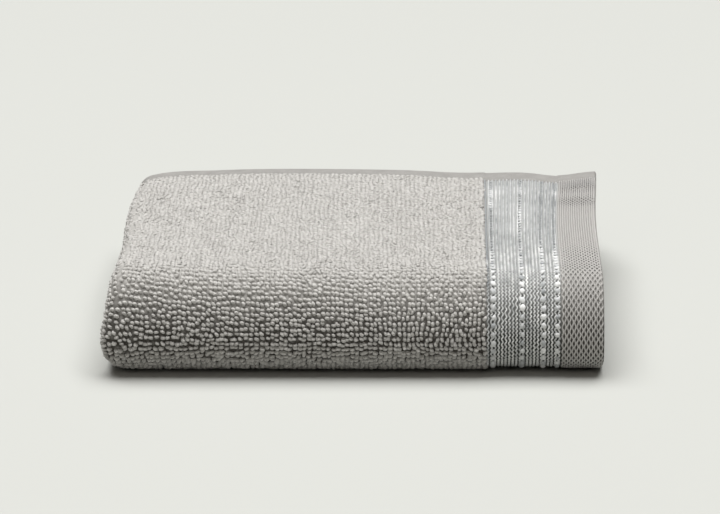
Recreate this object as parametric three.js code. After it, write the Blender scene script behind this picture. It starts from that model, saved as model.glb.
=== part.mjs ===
// A terry hand towel with a woven border, folded twice and laid down. Millimetres, +Z up.
// The cloth is one piece. It is folded in thirds along its length, and the narrow stack that this makes
// is folded in half across the cloth's width, so its crease faces the front, -Y.
// One end hem lies open at the right, +X. The origin is the middle of the base.
import * as THREE from 'three';

// The cloth as it is woven and hemmed
const CLOTH_LENGTH = 500;
const CLOTH_WIDTH = 300;
const END_HEM = 15;
const BORDER = 26;
const SIDE_HEM = 11;

// Half the thickness of each kind of cloth, with its pile
const TERRY_HALF = 2.8;
const BORDER_HALF = 1.5;
const END_HEM_HALF = 2.3;
const SIDE_HEM_HALF = 1.5;

// How the cloth is folded
const FOLDED_WIDTH = 172; // from the left fold to the end hem at the right
const LAYER_PITCH = 6.3; // from the middle of one layer to the middle of the next
const RIGHT_FOLD_INSET = 4; // how far the hidden fold at the right lies inside the end hem
const GRIP = 25; // how far from a fold two joined layers still hold each other

// How finely the shape is stepped
const STEP_RAMP = 0.8; // half the width of the slope between two thicknesses
const EDGE_ROUNDING = 1.2; // how far in from an edge the cloth reaches its full thickness
const EDGE_SHARE = 0.55; // the share of that thickness at the edge itself
const BEND_STEPS = 8; // along each fold of the thirds
const CREASE_STEPS = 14; // round the front crease
const LAYER_STEPS = 8; // along each third
const DEPTH_STEPS = 6; // from the side hem to the front crease
const GRIP_SAMPLES = 4; // on each side, when a radius is averaged over the grip

const BEND_RADIUS = LAYER_PITCH / 2;
const BEND_REACH = BEND_RADIUS + TERRY_HALF;
const BEND_LENGTH = Math.PI * BEND_RADIUS;
const OUTER_RADIUS = 2.5 * LAYER_PITCH; // of the middle of the outer layer, round the front crease
const MIDDLE_RADIUS = 1.5 * LAYER_PITCH;
const INNER_RADIUS = 0.5 * LAYER_PITCH;
const HALF_HEIGHT = OUTER_RADIUS + TERRY_HALF;
const HEIGHT = 2 * HALF_HEIGHT;

const RIGHT_END = FOLDED_WIDTH / 2;
const LEFT_CENTRE = -RIGHT_END + BEND_REACH;
const RIGHT_CENTRE = RIGHT_END - RIGHT_FOLD_INSET - BEND_REACH;
const OUTER_RUN = RIGHT_END - LEFT_CENTRE;
const MIDDLE_RUN = RIGHT_CENTRE - LEFT_CENTRE;
const MIDDLE_START = OUTER_RUN + BEND_LENGTH;
const MIDDLE_END = MIDDLE_START + MIDDLE_RUN;
const INNER_START = MIDDLE_END + BEND_LENGTH;

// Half thickness along the length, from an end inwards: distance, half
const END_PROFILE = [
  { distance: 0, half: END_HEM_HALF * EDGE_SHARE },
  { distance: EDGE_ROUNDING, half: END_HEM_HALF },
  { distance: END_HEM - STEP_RAMP, half: END_HEM_HALF },
  { distance: END_HEM + STEP_RAMP, half: BORDER_HALF },
  { distance: END_HEM + BORDER - STEP_RAMP, half: BORDER_HALF },
  { distance: END_HEM + BORDER + STEP_RAMP, half: TERRY_HALF },
];

// Half thickness across the width, from a side inwards: distance, half
const SIDE_PROFILE = [
  { distance: 0, half: SIDE_HEM_HALF * EDGE_SHARE },
  { distance: EDGE_ROUNDING, half: SIDE_HEM_HALF },
  { distance: SIDE_HEM - STEP_RAMP, half: SIDE_HEM_HALF },
  { distance: SIDE_HEM + STEP_RAMP, half: TERRY_HALF },
];

// Where the stack stands higher or lower than a flat one: the place, its reach, and the share of the
// height that it adds
const SWELLS = [
  { x: -25, y: 95, reachX: 50, reachY: 60, rise: 0.03 }, // the fullest part of the top
  { x: -17, y: 80, reachX: 10, reachY: 18, rise: -0.035 }, // a soft dent in its middle
  { x: 38, y: 110, reachX: 14, reachY: 26, rise: -0.03 }, // a trough beside the border
  { x: 71, y: 128, reachX: 9, reachY: 50, rise: -0.045 }, // the thin border where it meets the end hem
  { x: -90, y: 140, reachX: 26, reachY: 50, rise: -0.06 }, // the slack fold at the back left
  { x: -91, y: 135, reachX: 11, reachY: 34, rise: -0.1 }, // its corner, rounded off
  { x: -62, y: 0, reachX: 30, reachY: 30, rise: 0.02 }, // the full corner at the front left
];

// Where the stack is drawn sideways: the place, its reach, and how far the cloth moves along x there.
// The left fold narrows to the back, its front corner bulges, and it rounds off on top. The border leans
// out at the back, and the end hem curls in behind.
const PULLS = [
  { x: -86, y: 125, z: 18, reachX: 60, reachY: 80, reachZ: 90, pull: 5.5 },
  { x: -86, y: -4, z: 17, reachX: 34, reachY: 26, reachZ: 13, pull: -4.6 },
  { x: -86, y: 30, z: 34, reachX: 40, reachY: 25, reachZ: 20, pull: 1.5 },
  { x: 68, y: 125, z: 30, reachX: 22, reachY: 60, reachZ: 60, pull: 2.2 },
  { x: 88, y: 60, z: 30, reachX: 20, reachY: 60, reachZ: 60, pull: -1.6 },
];

// The back thins out, because only the flat side hems lie on each other there
const BACK_SAG = 0.055;
const BACK_SAG_START = 85;
const BACK_SAG_END = 118;

// The crease sags under its own weight, so that it stands out furthest below its middle
const CREASE_SAG = 3.6;
const CREASE_SAG_START = 34;

// Value of a { distance, half } profile at a distance
function halfAt(profile, distance) {
  const next = profile.findIndex((row) => row.distance >= distance);
  if (next < 0) return profile.at(-1).half;
  if (next === 0) return profile[0].half;
  const [before, after] = [profile[next - 1], profile[next]];
  const share = (distance - before.distance) / (after.distance - before.distance);
  return THREE.MathUtils.lerp(before.half, after.half, share);
}

function halfThickness(along, fromSide) {
  const fromEnd = Math.min(along, CLOTH_LENGTH - along);
  return Math.min(halfAt(END_PROFILE, fromEnd), halfAt(SIDE_PROFILE, fromSide));
}

// The line that the cloth follows when it is folded in thirds, at a length along the cloth: x, its radius
// from the axis of the front crease, and the direction in which its outer face looks
function foldedInThirds(along) {
  if (along <= OUTER_RUN) {
    return { x: RIGHT_END - along, radius: OUTER_RADIUS, faceX: 0, faceRadius: 1 };
  }
  if (along < MIDDLE_START) {
    const turn = (along - OUTER_RUN) / BEND_RADIUS;
    return {
      x: LEFT_CENTRE - BEND_RADIUS * Math.sin(turn),
      radius: 2 * LAYER_PITCH + BEND_RADIUS * Math.cos(turn),
      faceX: -Math.sin(turn),
      faceRadius: Math.cos(turn),
    };
  }
  if (along <= MIDDLE_END) {
    return { x: LEFT_CENTRE + along - MIDDLE_START, radius: MIDDLE_RADIUS, faceX: 0, faceRadius: -1 };
  }
  if (along < INNER_START) {
    const turn = (along - MIDDLE_END) / BEND_RADIUS;
    return {
      x: RIGHT_CENTRE + BEND_RADIUS * Math.sin(turn),
      radius: LAYER_PITCH + BEND_RADIUS * Math.cos(turn),
      faceX: -Math.sin(turn),
      faceRadius: -Math.cos(turn),
    };
  }
  return { x: RIGHT_CENTRE - (along - INNER_START), radius: INNER_RADIUS, faceX: 0, faceRadius: 1 };
}

// The radius that sets how much cloth the front crease takes up. Near a fold of the thirds the two layers
// can't slip past each other, so it is averaged over the grip.
function creaseRadius(along) {
  let sum = 0;
  for (let i = -GRIP_SAMPLES; i <= GRIP_SAMPLES; i++) {
    const near = THREE.MathUtils.clamp(along + (i * GRIP) / GRIP_SAMPLES, 0, CLOTH_LENGTH);
    sum += foldedInThirds(near).radius;
  }
  return sum / (2 * GRIP_SAMPLES + 1);
}

const bell = (value, centre, reach) => Math.exp(-(((value - centre) / reach) ** 2));

// Turns the even, flat stack into the slack one that lies on a table. The base stays flat.
function slacken(point) {
  const { x, y, z } = point;
  let rise = -BACK_SAG * THREE.MathUtils.smoothstep(y, BACK_SAG_START, BACK_SAG_END);
  for (const swell of SWELLS) {
    rise += swell.rise * bell(x, swell.x, swell.reachX) * bell(y, swell.y, swell.reachY);
  }
  const front = 1 - THREE.MathUtils.smoothstep(y, 0, CREASE_SAG_START);
  point.z = z * (1 + rise) - CREASE_SAG * front * Math.sin((Math.PI * z) / HEIGHT);
  for (const row of PULLS) {
    const share = bell(x, row.x, row.reachX) * bell(y, row.y, row.reachY) * bell(z, row.z, row.reachZ);
    point.x += row.pull * share;
  }
  return point;
}

// Evenly spaced values after `from`, up to and with `to`
function evenly(from, to, steps) {
  return Array.from({ length: steps }, (_, i) => THREE.MathUtils.lerp(from, to, (i + 1) / steps));
}

// Lengths along the cloth at which its shape is worked out, from the open end hem to the hidden one
function lengthStations() {
  const profile = END_PROFILE.map((row) => row.distance);
  const inwards = profile.at(-1);
  return [
    ...profile,
    ...evenly(inwards, OUTER_RUN, LAYER_STEPS),
    ...evenly(OUTER_RUN, MIDDLE_START, BEND_STEPS),
    ...evenly(MIDDLE_START, MIDDLE_END, LAYER_STEPS),
    ...evenly(MIDDLE_END, INNER_START, BEND_STEPS),
    ...evenly(INNER_START, CLOTH_LENGTH - inwards, LAYER_STEPS),
    ...profile.slice(0, -1).reverse().map((distance) => CLOTH_LENGTH - distance),
  ];
}

// Stations across the width, from the top layers' side hem over the front crease to the lower side hem.
// side is 1 above and -1 below. A flat station has its distance from the side of the cloth, or its share of
// the way from the hem to the crease, and one on the crease has its angle.
function widthStations() {
  const flat = [
    ...SIDE_PROFILE.map((row) => ({ distance: row.distance })),
    ...evenly(0, 1, DEPTH_STEPS).map((share) => ({ share })),
  ];
  const crease = evenly(Math.PI / 2, -Math.PI / 2, CREASE_STEPS).slice(0, -1).map((angle) => ({ angle }));
  return [
    ...flat.map((station) => ({ ...station, side: 1 })),
    ...crease,
    ...flat.toReversed().map((station) => ({ ...station, side: -1 })),
  ];
}

// A point of the folded towel: on its outer face for face 1, on its inner face for face -1
function towelPoint(along, station, face) {
  const line = foldedInThirds(along);
  const depth = CLOTH_WIDTH / 2 - (Math.PI / 2) * creaseRadius(along);
  const terryStart = SIDE_PROFILE.at(-1).distance;
  const fromSide = station.distance ?? terryStart + (station.share ?? 1) * (depth - terryStart);
  const offset = face * halfThickness(along, fromSide);
  const x = line.x + offset * line.faceX;
  const radius = line.radius + offset * line.faceRadius;
  if (station.side === undefined) {
    const { angle } = station;
    return slacken(new THREE.Vector3(x, -radius * Math.cos(angle), HALF_HEIGHT + radius * Math.sin(angle)));
  }
  return slacken(new THREE.Vector3(x, depth - fromSide, HALF_HEIGHT + station.side * radius));
}

// One closed skin: both faces of the cloth as grids, and its four edges as strips between them
function foldedCloth() {
  const lengths = lengthStations();
  const widths = widthStations();
  const positions = [];
  for (const face of [1, -1]) {
    for (const along of lengths) {
      for (const station of widths) positions.push(...towelPoint(along, station, face).toArray());
    }
  }
  const lastRow = lengths.length - 1;
  const lastColumn = widths.length - 1;
  const triangles = [];
  const addPatch = (a, b, c, d) => triangles.push(a, c, b, a, d, c);
  const outer = (row, column) => row * widths.length + column;
  const inner = (row, column) => lengths.length * widths.length + outer(row, column);

  for (let row = 0; row < lastRow; row++) {
    for (let column = 0; column < lastColumn; column++) {
      for (const [at, left, right] of [[outer, column, column + 1], [inner, column + 1, column]]) {
        addPatch(at(row, left), at(row, right), at(row + 1, right), at(row + 1, left));
      }
    }
  }
  for (let row = 0; row < lastRow; row++) {
    for (const [column, from, to] of [[0, row + 1, row], [lastColumn, row, row + 1]]) {
      addPatch(outer(to, column), outer(from, column), inner(from, column), inner(to, column));
    }
  }
  for (let column = 0; column < lastColumn; column++) {
    for (const [row, from, to] of [[0, column, column + 1], [lastRow, column + 1, column]]) {
      addPatch(outer(row, to), outer(row, from), inner(row, from), inner(row, to));
    }
  }

  const geometry = new THREE.BufferGeometry();
  geometry.setAttribute('position', new THREE.Float32BufferAttribute(positions, 3));
  geometry.setIndex(triangles);
  return geometry;
}

// Puts the origin in the middle of the base
function centreOnBase(geometry) {
  geometry.computeBoundingBox();
  const { min, max } = geometry.boundingBox;
  geometry.translate(-(min.x + max.x) / 2, -(min.y + max.y) / 2, -min.z);
  geometry.computeVertexNormals();
  return geometry;
}

const cotton = new THREE.MeshStandardMaterial({ color: 0xa5a29e, roughness: 0.95, metalness: 0 });
const towel = new THREE.Mesh(centreOnBase(foldedCloth()), cotton);
towel.name = 'towel';

const part = new THREE.Group();
part.add(towel);

export default part;
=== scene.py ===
import math

import bpy
import numpy as np
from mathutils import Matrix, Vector


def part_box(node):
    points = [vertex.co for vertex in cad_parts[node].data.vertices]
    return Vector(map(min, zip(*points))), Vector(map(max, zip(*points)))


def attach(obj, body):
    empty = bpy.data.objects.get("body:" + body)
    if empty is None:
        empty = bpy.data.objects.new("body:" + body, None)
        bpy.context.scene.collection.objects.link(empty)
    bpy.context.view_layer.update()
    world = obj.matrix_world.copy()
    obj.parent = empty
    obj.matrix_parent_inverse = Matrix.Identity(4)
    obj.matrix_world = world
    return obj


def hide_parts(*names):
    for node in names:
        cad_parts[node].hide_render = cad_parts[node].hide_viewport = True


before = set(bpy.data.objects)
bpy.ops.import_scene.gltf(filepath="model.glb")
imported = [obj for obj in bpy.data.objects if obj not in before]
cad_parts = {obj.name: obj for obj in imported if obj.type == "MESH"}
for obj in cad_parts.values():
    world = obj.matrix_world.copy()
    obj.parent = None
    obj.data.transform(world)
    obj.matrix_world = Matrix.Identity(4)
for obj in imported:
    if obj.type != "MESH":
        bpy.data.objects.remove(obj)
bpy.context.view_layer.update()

# The cloth is one length of cotton, woven in one piece: terry in the middle, a flat jacquard border beside
# each end hem, and hems turned under and sewn all round. It is folded in thirds along its length, and that
# stack is folded in half across its width, so that the crease faces the front.
CLOTH_LENGTH = 0.500
CLOTH_WIDTH = 0.300
END_HEM = 0.015
BORDER = 0.026
SIDE_HEM = 0.011
TERRY_HALF = 0.0028  # half the thickness of each kind of cloth, with its pile or raised yarns
BORDER_HALF = 0.0015
END_HEM_HALF = 0.0023
SIDE_HEM_HALF = 0.0015
GROUND_HALF = 0.0014  # half the thickness of the woven ground that the loops stand on
PRESSED_GROUND_HALF = 0.0023  # and where the pile is pressed flat, on top of the stack
PRESSED_TO = 0.125  # how far across the cloth that is, and the width over which it ends
PRESSED_FADE = 0.028
YARN_SINK = 0.0006  # how far the ground lies below the raised yarns of the border and the end hem
FOLDED_WIDTH = 0.172
LAYER_PITCH = 0.0063
RIGHT_FOLD_INSET = 0.004
GRIP = 0.025  # how far from a fold two joined layers still hold each other
GRIP_SAMPLES = 4

BEND_RADIUS = LAYER_PITCH / 2
BEND_REACH = BEND_RADIUS + TERRY_HALF
BEND_LENGTH = math.pi * BEND_RADIUS
OUTER_RADIUS = 2.5 * LAYER_PITCH  # of the outermost of the three layers, from the axis of the front crease
HALF_HEIGHT = OUTER_RADIUS + TERRY_HALF
RIGHT_END = FOLDED_WIDTH / 2
LEFT_CENTRE = -RIGHT_END + BEND_REACH
RIGHT_CENTRE = RIGHT_END - RIGHT_FOLD_INSET - BEND_REACH
OUTER_RUN = RIGHT_END - LEFT_CENTRE
MIDDLE_START = OUTER_RUN + BEND_LENGTH
MIDDLE_END = MIDDLE_START + RIGHT_CENTRE - LEFT_CENTRE
INNER_START = MIDDLE_END + BEND_LENGTH
TERRY_START = END_HEM + BORDER  # from either end

# Where the stack stands higher or lower than a flat one: x, y, reach along x, reach along y, share of height
SWELLS = (
    (-0.025, 0.095, 0.050, 0.060, 0.03),
    (-0.017, 0.080, 0.010, 0.018, -0.035),
    (0.038, 0.110, 0.014, 0.026, -0.03),
    (0.071, 0.128, 0.009, 0.050, -0.045),
    (-0.090, 0.140, 0.026, 0.050, -0.06),
    (-0.091, 0.135, 0.011, 0.034, -0.10),
    (-0.062, 0.000, 0.030, 0.030, 0.02),
)
# Where it is drawn sideways: x, y, z, reach along x, y and z, and the move along x
PULLS = (
    (-0.086, 0.125, 0.018, 0.060, 0.080, 0.090, 0.0055),
    (-0.086, -0.004, 0.017, 0.034, 0.026, 0.013, -0.0046),
    (-0.086, 0.030, 0.034, 0.040, 0.025, 0.020, 0.0015),
    (0.068, 0.125, 0.030, 0.022, 0.060, 0.060, 0.0022),
    (0.088, 0.060, 0.030, 0.020, 0.060, 0.060, -0.0016),
)
BACK_SAG = 0.055
BACK_SAG_START = 0.085
BACK_SAG_END = 0.118
CREASE_SAG = 0.0036
CREASE_SAG_START = 0.034
# Soft troughs in the top layers: x, y, half length, half width, turn in degrees and depth
TROUGHS = (
    (-0.049, 0.096, 0.026, 0.0050, -12, 0.0009),
    (-0.020, 0.084, 0.008, 0.0060, 35, 0.0008),
    (0.040, 0.096, 0.011, 0.0045, -49, 0.0010),
    (0.010, 0.060, 0.018, 0.0050, -28, 0.0005),
    (-0.060, 0.050, 0.016, 0.0060, 20, 0.0005),
    (0.079, 0.098, 0.008, 0.0030, 0, 0.0004),
    (0.079, 0.078, 0.008, 0.0034, 0, 0.0004),
)


def smooth(value, start, end):
    share = np.clip((value - start) / (end - start), 0, 1)
    return share * share * (3 - 2 * share)


def bell(value, centre, reach):
    return np.exp(-(((value - centre) / reach) ** 2))


def folded_in_thirds(along):
    """x, radius from the axis of the front crease, and the way the outer face looks, along the cloth."""
    left_turn = np.clip((along - OUTER_RUN) / BEND_RADIUS, 0, math.pi)
    right_turn = np.clip((along - MIDDLE_END) / BEND_RADIUS, 0, math.pi)
    middle_run = np.clip(along - MIDDLE_START, 0, MIDDLE_END - MIDDLE_START)
    inner_run = np.clip(along - INNER_START, 0, None)
    x = RIGHT_END - np.minimum(along, OUTER_RUN) - BEND_RADIUS * np.sin(left_turn) + middle_run
    x = x + BEND_RADIUS * np.sin(right_turn) - inner_run
    radius = OUTER_RADIUS - BEND_RADIUS * (1 - np.cos(left_turn)) - BEND_RADIUS * (1 - np.cos(right_turn))
    turn = left_turn - right_turn
    return x, radius, -np.sin(turn), np.cos(turn)


def crease_radius(along):
    """The radius that sets how much cloth the crease takes up, averaged where two layers hold each other."""
    steps = np.arange(-GRIP_SAMPLES, GRIP_SAMPLES + 1) * GRIP / GRIP_SAMPLES
    near = [folded_in_thirds(np.clip(along + step, 0, CLOTH_LENGTH))[1] for step in steps]
    return np.mean(near, axis=0)


def slacken(x, y, z):
    """Turns the even stack into the slack one that lies on a table. The base stays flat."""
    rise = -BACK_SAG * smooth(y, BACK_SAG_START, BACK_SAG_END)
    for at_x, at_y, reach_x, reach_y, share in SWELLS:
        rise = rise + share * bell(x, at_x, reach_x) * bell(y, at_y, reach_y)
    front = 1 - smooth(y, 0, CREASE_SAG_START)
    sagged = z * (1 + rise) - CREASE_SAG * front * np.sin(math.pi * z / (2 * HALF_HEIGHT))
    for at_x, at_y, half_length, half_width, turn, depth in TROUGHS:
        ahead, aside = math.cos(math.radians(turn)), math.sin(math.radians(turn))
        run, off = (x - at_x) * ahead + (y - at_y) * aside, (y - at_y) * ahead - (x - at_x) * aside
        dent = depth * bell(run, 0, half_length) * bell(off, 0, half_width)
        sagged = sagged - dent * (z / HALF_HEIGHT / 2) ** 2
    drawn = x
    for at_x, at_y, at_z, reach_x, reach_y, reach_z, pull in PULLS:
        drawn = drawn + pull * bell(x, at_x, reach_x) * bell(y, at_y, reach_y) * bell(z, at_z, reach_z)
    return drawn, y, sagged


def fold(along, across, offset):
    """Points of the folded towel, from a place on the flat cloth and the height above its middle."""
    x, radius, face_x, face_radius = folded_in_thirds(along)
    crease = crease_radius(along)
    depth = CLOTH_WIDTH / 2 - math.pi / 2 * crease
    angle = np.clip((CLOTH_WIDTH / 2 - across) / crease, -math.pi / 2, math.pi / 2)
    x = x + offset * face_x
    radius = radius + offset * face_radius
    flat = np.maximum(depth - np.minimum(across, CLOTH_WIDTH - across), 0)
    y = flat - radius * np.cos(angle)
    z = HALF_HEIGHT + radius * np.sin(angle)
    return np.stack(slacken(x, y, z), axis=-1)


def stations(*spans):
    """Joins spans of (start, end, steps) into one rising list."""
    parts = [np.linspace(start, end, steps, endpoint=False) for start, end, steps in spans]
    return np.append(np.concatenate(parts), spans[-1][1])


EDGE = 0.0012  # how far in from an edge a hem reaches its full thickness
RAMP = 0.0008  # half the slope between two thicknesses
EDGE_KEPT = 0.02  # the square of the share of its thickness that is left at an edge
CLOSER_FROM = 0.120  # from here to the crease the stations across the cloth lie closer
LOOPED_ACROSS = 0.186  # the outer face carries real loops from its upper side hem to here, past the crease
LOOPED_FADE = 0.004

length_ends = (
    (0, EDGE, 5),
    (EDGE, END_HEM - RAMP, 4),
    (END_HEM - RAMP, END_HEM + RAMP, 3),
    (END_HEM + RAMP, TERRY_START - RAMP, 6),
    (TERRY_START - RAMP, TERRY_START + RAMP, 3),
)
lengths = stations(
    *length_ends,
    (TERRY_START + RAMP, OUTER_RUN, 30),
    (OUTER_RUN, MIDDLE_START, 14),
    (MIDDLE_START, MIDDLE_END, 18),
    (MIDDLE_END, INNER_START, 14),
    (INNER_START, CLOTH_LENGTH - TERRY_START - RAMP, 16),
    *[(CLOTH_LENGTH - end, CLOTH_LENGTH - start, steps) for start, end, steps in reversed(length_ends)],
)
half_width = (
    (0, EDGE, 5),
    (EDGE, SIDE_HEM - RAMP, 4),
    (SIDE_HEM - RAMP, SIDE_HEM + RAMP, 3),
    (SIDE_HEM + RAMP, CLOSER_FROM, 24),
    (CLOSER_FROM, CLOTH_WIDTH / 2, 26),
)
widths = stations(
    *half_width,
    *[(CLOTH_WIDTH - end, CLOTH_WIDTH - start, steps) for start, end, steps in reversed(half_width)],
)


def rounded(distance, half):
    """Half thickness near an edge, which a turned-under hem closes in a half round."""
    inwards = np.clip(distance / EDGE, 0, 1)
    return half * np.sqrt(np.clip(1 - (1 - inwards) ** 2, EDGE_KEPT, 1))


def step_between(distance, at, before, after):
    return before + (after - before) * np.clip((distance - at + RAMP) / (2 * RAMP), 0, 1)


def looped(along, across, face):
    """1 where real loops stand on this face, 0 where the ground itself reaches as high as the pile."""
    if face > 0:
        on_top = 1 - smooth(across, LOOPED_ACROSS, LOOPED_ACROSS + LOOPED_FADE)
        on_top = on_top * (1 - smooth(along, OUTER_RUN, OUTER_RUN + LOOPED_FADE))
        on_fold = smooth(along, OUTER_RUN - LOOPED_FADE, OUTER_RUN)
        on_fold = on_fold * (1 - smooth(along, MIDDLE_START, MIDDLE_START + LOOPED_FADE))
        return np.maximum(on_top, on_fold)
    on_fold = smooth(along, MIDDLE_END - LOOPED_FADE, MIDDLE_END)
    return on_fold * (1 - smooth(along, INNER_START, INNER_START + LOOPED_FADE))


def pressed(across):
    """1 where the pile is pressed flat, on top, and 0 where it stands, round the crease."""
    return 1 - smooth(across, PRESSED_TO, PRESSED_TO + PRESSED_FADE)


def ground_half(along, across, face):
    """Half the thickness of the cloth below its loops and raised yarns."""
    from_end = np.minimum(along, CLOTH_LENGTH - along)
    from_side = np.minimum(across, CLOTH_WIDTH - across)
    bare = looped(along, across, face)
    ground = GROUND_HALF + (PRESSED_GROUND_HALF - GROUND_HALF) * pressed(across)
    terry = TERRY_HALF + (ground - TERRY_HALF) * bare
    outer = 1.0 * (face > 0) * (along < OUTER_RUN)
    border = BORDER_HALF - YARN_SINK * outer
    end_hem = rounded(from_end, END_HEM_HALF - YARN_SINK * outer)
    half = step_between(from_end, END_HEM, end_hem, border)
    half = np.where(from_end > END_HEM + RAMP, step_between(from_end, TERRY_START, border, terry), half)
    side_hem = rounded(from_side, SIDE_HEM_HALF)
    return np.minimum(half, step_between(from_side, SIDE_HEM, side_hem, np.maximum(half, side_hem)))


def grid_faces(rows, columns):
    corner = np.arange(rows * columns).reshape(rows, columns)
    return np.stack([corner[:-1, :-1], corner[:-1, 1:], corner[1:, 1:], corner[1:, :-1]], -1).reshape(-1, 4)


def outer_rim(rows, columns):
    """The border of a grid as one closed ring of its corners."""
    corner = np.arange(rows * columns).reshape(rows, columns)
    return np.concatenate([corner[0, :-1], corner[:-1, -1], corner[-1, :0:-1], corner[:0:-1, 0]])


def mesh_from(name, points, faces, flat_places=None):
    mesh = bpy.data.meshes.new(name)
    mesh.from_pydata(points.tolist(), [], faces.tolist())
    mesh.shade_smooth()
    if flat_places is not None:
        layer = mesh.uv_layers.new(name="Cloth")
        corners = np.zeros(len(mesh.loops), dtype=np.int32)
        mesh.loops.foreach_get("vertex_index", corners)
        layer.uv.foreach_set("vector", flat_places[corners].astype(np.float32).ravel())
    return mesh


def place(mesh):
    thing = bpy.data.objects.new(mesh.name, mesh)
    bpy.context.collection.objects.link(thing)
    return thing


def flat_grid(along_values, across_values):
    """Every place of a grid on the flat cloth, as its distances along and across."""
    return (grid.ravel() for grid in np.meshgrid(along_values, across_values, indexing="ij"))


# The folded cloth is centred on the box of the solid towel and stands on the same base.
BOTH_FACES = (1, -1)  # the outer face and the inner one
ALONG, ACROSS = flat_grid(lengths, widths)
full = np.concatenate([fold(ALONG, ACROSS, face * TERRY_HALF) for face in BOTH_FACES])
cad_low, cad_high = (np.array(corner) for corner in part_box("towel"))
SHIFT = (cad_low + cad_high) / 2 - (full.min(axis=0) + full.max(axis=0)) / 2
SHIFT[2] = cad_low[2]


def towel_point(along, across, offset):
    return fold(along, across, offset) + SHIFT


faces = grid_faces(len(lengths), len(widths))
rim = outer_rim(len(lengths), len(widths))
next_rim = np.roll(rim, -1)
under = len(ALONG)
skin = np.concatenate([
    towel_point(ALONG, ACROSS, face * ground_half(ALONG, ACROSS, face)) for face in BOTH_FACES])
skin_faces = np.concatenate([
    faces[:, ::-1], faces + under, np.stack([rim, next_rim, next_rim + under, rim + under], -1)])
flat_places = np.tile(np.stack([ALONG, ACROSS], -1), (2, 1))
cloth = place(mesh_from("towel_cloth", skin, skin_faces, flat_places))

# The ground is painted darker where it lies deep between standing loops and raised yarns, a painted shade.
# The attribute is 0 where it isn't, as where the pile is pressed flat on top.
woven_flat = np.minimum(ALONG, CLOTH_LENGTH - ALONG) < TERRY_START
bare = np.concatenate([np.where(woven_flat, 1, looped(ALONG, ACROSS, face)) for face in BOTH_FACES])
painted_depth_shade = bare * (1 - pressed(np.tile(ACROSS, 2)))
cloth.data.attributes.new("painted_depth_shade", "FLOAT", "POINT").data.foreach_set("value", painted_depth_shade)


def node(tree, kind, values=None, **settings):
    """A node with its settings, and its inputs set to values or joined to other nodes' outputs."""
    made = tree.nodes.new(kind)
    for label, value in settings.items():
        setattr(made, label, value)
    for label, value in (values or {}).items():
        if isinstance(value, bpy.types.NodeSocket):
            tree.links.new(value, made.inputs[label])
        else:
            made.inputs[label].default_value = value
    return made


def number(tree, operation, first, second=0.0, third=0.0):
    return node(tree, "ShaderNodeMath", {0: first, 1: second, 2: third}, operation=operation).outputs[0]


def between(tree, value, low, high):
    """0 below low, 1 above high, and even between them."""
    values = {"Value": value, "From Min": low, "From Max": high}
    return node(tree, "ShaderNodeMapRange", values).outputs[0]


def mixed(tree, share, first, second, kind="RGBA"):
    """Blends two colours or two numbers."""
    sockets = {0: share, 6: first, 7: second} if kind == "RGBA" else {0: share, 2: first, 3: second}
    return node(tree, "ShaderNodeMix", sockets, data_type=kind).outputs[2 if kind == "RGBA" else 0]


def noise(tree, spot, scale, detail, output=0):
    values = {"Vector": spot, "Scale": scale, "Detail": detail}
    return node(tree, "ShaderNodeTexNoise", values).outputs[output]


def ribs(tree, distance, pitch, first=0.0):
    """1 along the middle of each yarn and 0 between two, for yarns laid at an even pitch."""
    turn = number(tree, "MULTIPLY", number(tree, "SUBTRACT", distance, first), 2 * math.pi / pitch)
    return number(tree, "MULTIPLY_ADD", number(tree, "COSINE", turn), 0.5, 0.5)


# The face of the cloth itself is seen on its hems and in its folds: a fine plain weave, ribbed in the border
# and the end hems, and closed little loops in the terry. One row of stitches holds each side hem down.
LOOP_PITCH_ALONG = 0.00164
STRAND_PITCH = 0.00124  # from strand to strand in the border, and in the end hem
HEM_STRAND_PITCH = 0.00086
BORDER_FIRST = END_HEM + 0.0009
HEM_FIRST = 0.0008
FINE_PITCH = 0.0009
SEAM = 0.0098  # the stitches that hold the side hem down, from the side
SEAM_REACH = 0.0007
SEAM_SHADE = 0.6
SEAM_DEPTH = 1.5  # against the height of the weave
LOOP_EDGE, LOOP_TOP = 0.62, 0.12  # where a closed loop ends and where it is full, from its middle
LOOPS_UNEVEN = 0.55
DEEP_SHADE = 0.7  # how much darker the ground is where it lies deep
WEAR_SCALE = 260.0
WEAR_SHARE = 0.5  # how much wear and the height of the weave lighten the ground; the part by height is painted shade in the hollows of the weave
RELIEF_SHADE_SHARE = 0.8
TONE_SHIFT = -0.2
WEAVE_RELIEF = 0.0003
# The dark tone of each zone is painted shade, for its hollows and for its ground where that lies deep; in the
# border it also stands for the grey of the ground yarn.
SIDE_DARK, SIDE_LIGHT = (0.190, 0.184, 0.174, 1), (0.385, 0.374, 0.356, 1)
HEM_DARK, HEM_LIGHT = (0.060, 0.057, 0.052, 1), (0.430, 0.418, 0.398, 1)
BORDER_DARK, BORDER_LIGHT = (0.045, 0.047, 0.044, 1), (0.430, 0.435, 0.425, 1)
TERRY_DARK, TERRY_LIGHT = (0.045, 0.040, 0.035, 1), (0.470, 0.457, 0.435, 1)


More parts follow.
